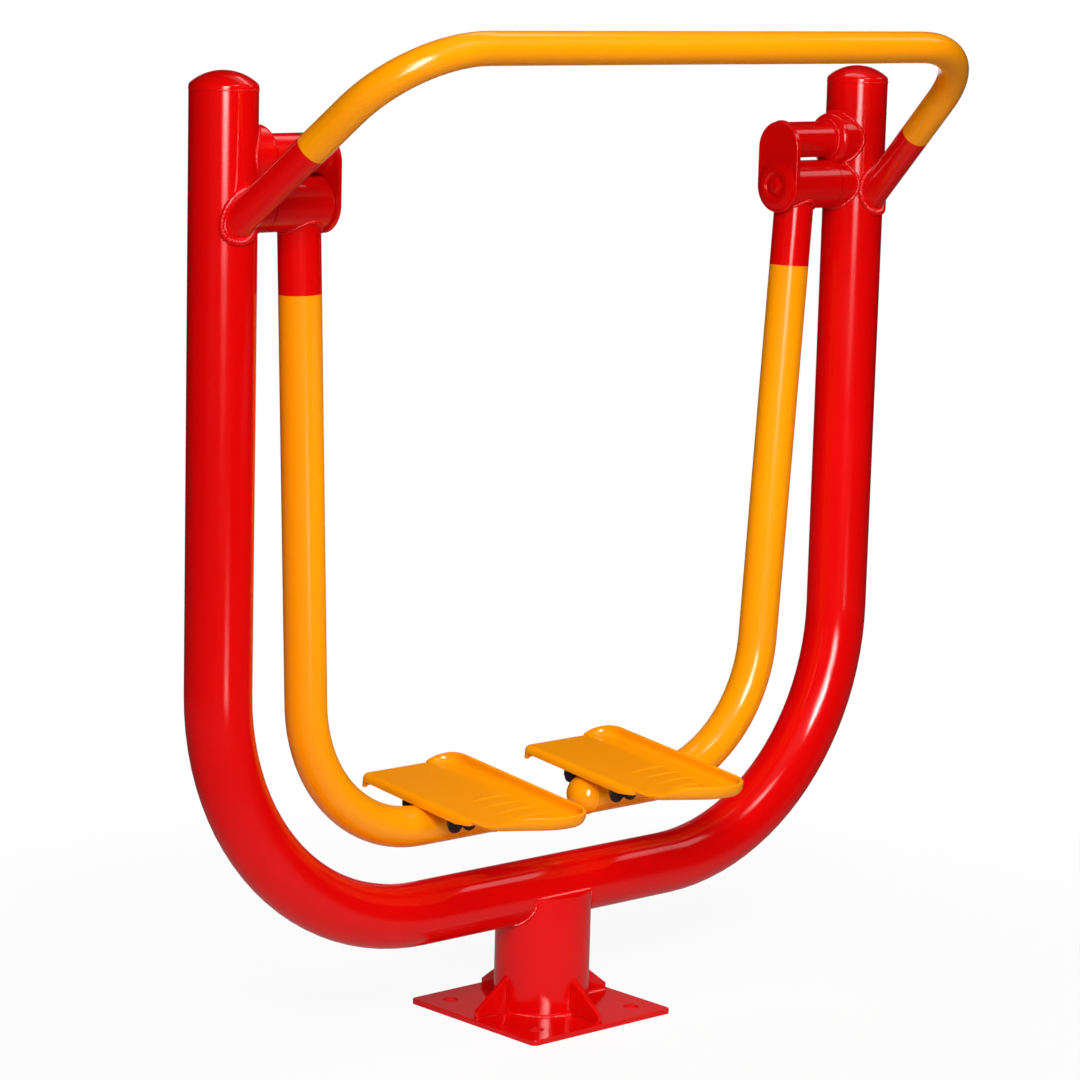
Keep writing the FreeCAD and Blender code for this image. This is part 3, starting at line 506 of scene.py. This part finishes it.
def arm_welds():
    """The beads of each arm at its hub and its cap, tilted to where the arm hangs."""
    tilt = Matrix.Rotation(ARM_TILT, 3, "X")
    pivot = AXIS_Z * PIVOT
    for side, sign in SIDES.items():
        body = f"{side}_arm"
        up = tilt @ Vector((sign * math.sin(ARM_LEAN), 0, math.cos(ARM_LEAN)))
        start = Vector((sign * ARM_LINE, 0, PIVOT)) - up * ABOVE_SEAT
        saddle_weld(f"hub_weld_{side}", body, start, up, ARM_RADIUS, (pivot, AXIS_X, STUB_RADIUS),
                    size=0.0034)
        end = pivot + tilt @ (Vector((sign * ARM_END, 0, ARM_BOTTOM)) - pivot)
        flat_weld(f"arm_cap_weld_{side}", body, end, AXIS_X * sign, ARM_RADIUS - 0.0007,
                  size=0.0016, slot="yellow_paint")


def mouth_of_pedestal(side):
    """The line where the pedestal's mouth meets the main tube, on one side."""
    widest = math.asin(POST_RADIUS / PEDESTAL_RADIUS)

    def path(share):
        turn = (2 * share - 1) * widest
        along = PEDESTAL_RADIUS * math.sin(turn)
        drop = math.sqrt(max(POST_RADIUS ** 2 - along ** 2, 0))
        return Vector((side * PEDESTAL_RADIUS * math.cos(turn), along, BOTTOM_LINE - drop))

    return path


def pedestal_welds():
    """The beads round the pedestal's mouth and along the crescents' straight edges."""
    form = bmesh.new()
    half = math.sqrt(PEDESTAL_RADIUS ** 2 - POST_RADIUS ** 2)
    for side in SIDES.values():
        weld_along(form, mouth_of_pedestal(side), MOUTH_LENGTH, size=0.0034)
        edge = Vector((half, side * POST_RADIUS, BOTTOM_LINE))
        straight_weld(form, edge - AXIS_X * 2 * half, edge, size=0.0032)
    piece("pedestal_top_welds", form, "frame", "red_paint")


def base_welds():
    """The beads at the pedestal's foot and along both flanks of the gussets."""
    flat_weld("pedestal_weld", "frame", AXIS_Z * PLATE_TOP, AXIS_Z, PEDESTAL_RADIUS + 0.0005,
              size=0.0036)
    form = bmesh.new()
    for turn in range(4):
        spun = Matrix.Rotation(turn * math.pi / 2, 4, "Z")
        for flank in (-GUSSET_FLANK, GUSSET_FLANK):
            foot = spun @ Vector((PEDESTAL_RADIUS, flank, PLATE_TOP))
            toe = spun @ Vector((GUSSET_TOE, flank, PLATE_TOP))
            top = spun @ Vector((PEDESTAL_RADIUS, flank, GUSSET_TOP))
            straight_weld(form, foot, toe, size=0.003)
            straight_weld(form, foot, top, size=0.0026)
    piece("gusset_welds", form, "frame", "red_paint")


# Room, lights and camera


def room():
    """A pale round floor that fades into a white surround and keeps the part's shadow."""
    form = bmesh.new()
    bmesh.ops.create_circle(form, segments=96, radius=FLOOR_RADIUS, cap_ends=True)
    bmesh.ops.translate(form, verts=form.verts, vec=(0, 0, -FLOOR_DROP))
    mesh = bpy.data.meshes.new("floor")
    form.to_mesh(mesh)
    form.free()
    floor = bpy.data.objects.new("floor", mesh)
    bpy.context.scene.collection.objects.link(floor)
    finish = Finish("pale floor")
    across, along, _ = finish.axes()
    reach = (across * across + along * along).root()
    path = finish.node("LightPath").outputs
    seen = Value(finish, path["Is Camera Ray"])
    matt = finish.node("BsdfDiffuse", None, Color=FLOOR_COLOUR).outputs[0]
    white = FLOOR_WHITE + (1 - FLOOR_WHITE) * reach.fade(*FLOOR_FADE)
    shown = finish.either(seen * white, matt, finish.glow(1.0))
    clear = finish.node("BsdfTransparent").outputs[0]
    gloss = finish.either(reach.fade(*FLOOR_GLOW_FADE), finish.glow(FLOOR_GLOW), clear)
    mesh.materials.append(finish.output(finish.either(path["Is Glossy Ray"], shown, gloss)))


def surround():
    """White where it is seen and straight behind the part, a dim studio elsewhere."""
    world = bpy.data.worlds.new("studio")
    bpy.context.scene.world = world
    world.use_nodes = True
    sky = Shading(world.node_tree)
    toward = sky.node("TexCoord").outputs["Generated"]
    path = sky.node("LightPath").outputs
    behind = sky.spread(sky.dot(toward, BACKDROP), *BACKDROP_FADE, STUDIO, 1.0)
    below = sky.spread(sky.dot(toward, DOWN), *DOWN_FADE, STUDIO, STUDIO_BELOW)
    mirrored = Value(sky, path["Is Glossy Ray"]).at_least(path["Is Transmission Ray"])
    level = sky.node("Mix", None, mirrored, None, ROOM_LIGHT, behind.at_least(below)).outputs[0]
    level = Value(sky, level).at_least(path["Is Camera Ray"])
    sky.node("OutputWorld", None, sky.node("Background", None, WHITE, level).outputs[0])


def faced(item, bearing, distance, height, aim_height):
    """Stands an object at a bearing round the part, turned to face it."""
    turn = math.radians(bearing)
    item.location = (distance * math.cos(turn), distance * math.sin(turn), height)
    aim = Vector((0, 0, aim_height)) - item.location
    item.rotation_mode = "QUATERNION"
    item.rotation_quaternion = aim.to_track_quat("-Z", "Y")
    item.visible_camera = False
    bpy.context.scene.collection.objects.link(item)


def soft_lamp(name, bearing, distance, height, width, tall, brightness, aim_height=0.7):
    """A soft lamp that brightens the paint and isn't mirrored in it."""
    lamp = bpy.data.lights.new(name, "AREA")
    lamp.shape = "RECTANGLE"
    lamp.size, lamp.size_y = width, tall
    lamp.energy = brightness * math.pi * width * tall
    item = bpy.data.objects.new(name, lamp)
    item.visible_glossy = False
    faced(item, bearing, distance, height, aim_height)


def mirrored_card(name, bearing, distance, height, width, tall, brightness, rise, softness=8,
                  flank=1, aim_height=None):
    """A soft-edged card that shows only in the gloss, brighter towards its top."""
    form = bmesh.new()
    bmesh.ops.create_grid(form, x_segments=1, y_segments=1, size=0.5)
    bmesh.ops.scale(form, verts=form.verts, vec=(width, tall, 1))
    mesh = bpy.data.meshes.new(name)
    form.to_mesh(mesh)
    form.free()
    finish = Finish(name)
    across, along, _ = finish.axes()
    bell = ((1 - abs(across) / (width / 2)) * flank).clamped()
    bell = bell * bell * (3 - bell * 2)
    ramp = ((along / tall + 0.5) / rise).clamped()
    edge = ((0.5 - abs(along) / tall) * softness).clamped()
    glow = finish.glow(bell * ramp * ramp * ramp * edge * brightness)
    mesh.materials.append(finish.output(glow))
    item = bpy.data.objects.new(name, mesh)
    item.visible_diffuse = False
    item.visible_shadow = False
    faced(item, bearing, distance, height, height if aim_height is None else aim_height)


def lights():
    """Lamps that light the paint, and cards for the streaks that are mirrored in it."""
    soft_lamp("key", bearing=-127, distance=6, height=4.0, width=2.5, tall=2.5, brightness=18.6)
    soft_lamp("front roof lamp", bearing=-90, distance=0.8, height=2.0, width=1.3, tall=0.4,
              brightness=3.4, aim_height=1.3)
    soft_lamp("ceiling", bearing=30, distance=0.3, height=3.2, width=2.0, tall=2.0,
              brightness=0.25)
    soft_lamp("pedal lamp", bearing=-90, distance=0.45, height=0.95, width=0.6, tall=0.4,
              brightness=2.6, aim_height=0.3)
    soft_lamp("left fill", bearing=200, distance=4, height=1.2, width=2, tall=2,
              brightness=0.8, aim_height=1.2)
    soft_lamp("back fill", bearing=60, distance=6, height=3.0, width=3, tall=3, brightness=6.5)
    mirrored_card("upper streak", bearing=-122.5, distance=FAR, height=5.6, width=9.4, tall=13.8,
                  brightness=18, rise=0.137, softness=25)
    mirrored_card("bend streak", bearing=-118, distance=FAR, height=8.6, width=7.0, tall=9.5,
                  brightness=32, rise=0.1)
    mirrored_card("lower streak", bearing=-102, distance=FAR, height=-3.85, width=7.4, tall=1.2,
                  brightness=8.5, rise=0.3, softness=2.5)
    mirrored_card("ceiling card", bearing=20, distance=1.5, height=3.0, width=2.6, tall=2.4,
                  brightness=0.8, rise=1.0, aim_height=1.4)
    mirrored_card("back sheen", bearing=47, distance=FAR, height=5.2, width=20, tall=5,
                  brightness=0.16, rise=0.05, softness=4, flank=3)
    mirrored_card("roof streak", bearing=-4, distance=2.62, height=3.0, width=3.0, tall=1.0,
                  brightness=1.7, rise=0.05, flank=6, aim_height=0.2)
    mirrored_card("front roof card", bearing=-82, distance=6, height=8.2, width=4.6, tall=5.0,
                  brightness=9.0, rise=0.3, softness=2.5)
    mirrored_card("bar streak", bearing=20, distance=0.9, height=3.0, width=1.3, tall=0.35,
                  brightness=2.0, rise=0.05, flank=5, aim_height=1.3)


def camera():
    """The photograph's own viewing angle."""
    turn, rise, roll = CAMERA_TURN, CAMERA_RISE, CAMERA_ROLL
    back = Vector((math.sin(turn) * math.cos(rise), -math.cos(turn) * math.cos(rise),
                   math.sin(rise)))
    level = Vector((math.cos(turn), math.sin(turn), 0))
    upward = back.cross(level)
    right = level * math.cos(roll) + upward * math.sin(roll)
    up = upward * math.cos(roll) - level * math.sin(roll)
    lens = bpy.data.cameras.new("camera")
    lens.sensor_width = SENSOR
    lens.lens = SENSOR * FOCAL / PHOTO
    lens.shift_y = SHIFT / PHOTO
    item = bpy.data.objects.new("camera", lens)
    item.matrix_world = Matrix.Translation(CAMERA_TARGET + back * CAMERA_DISTANCE) @ Matrix(
        (right, up, back)).transposed().to_4x4()
    bpy.context.scene.collection.objects.link(item)
    bpy.context.scene.camera = item


dress_nodes()
frame_welds()
arm_welds()
base_welds()
pedestal_welds()
room()
surround()
lights()
camera()
bpy.context.scene.view_settings.view_transform = "Standard"
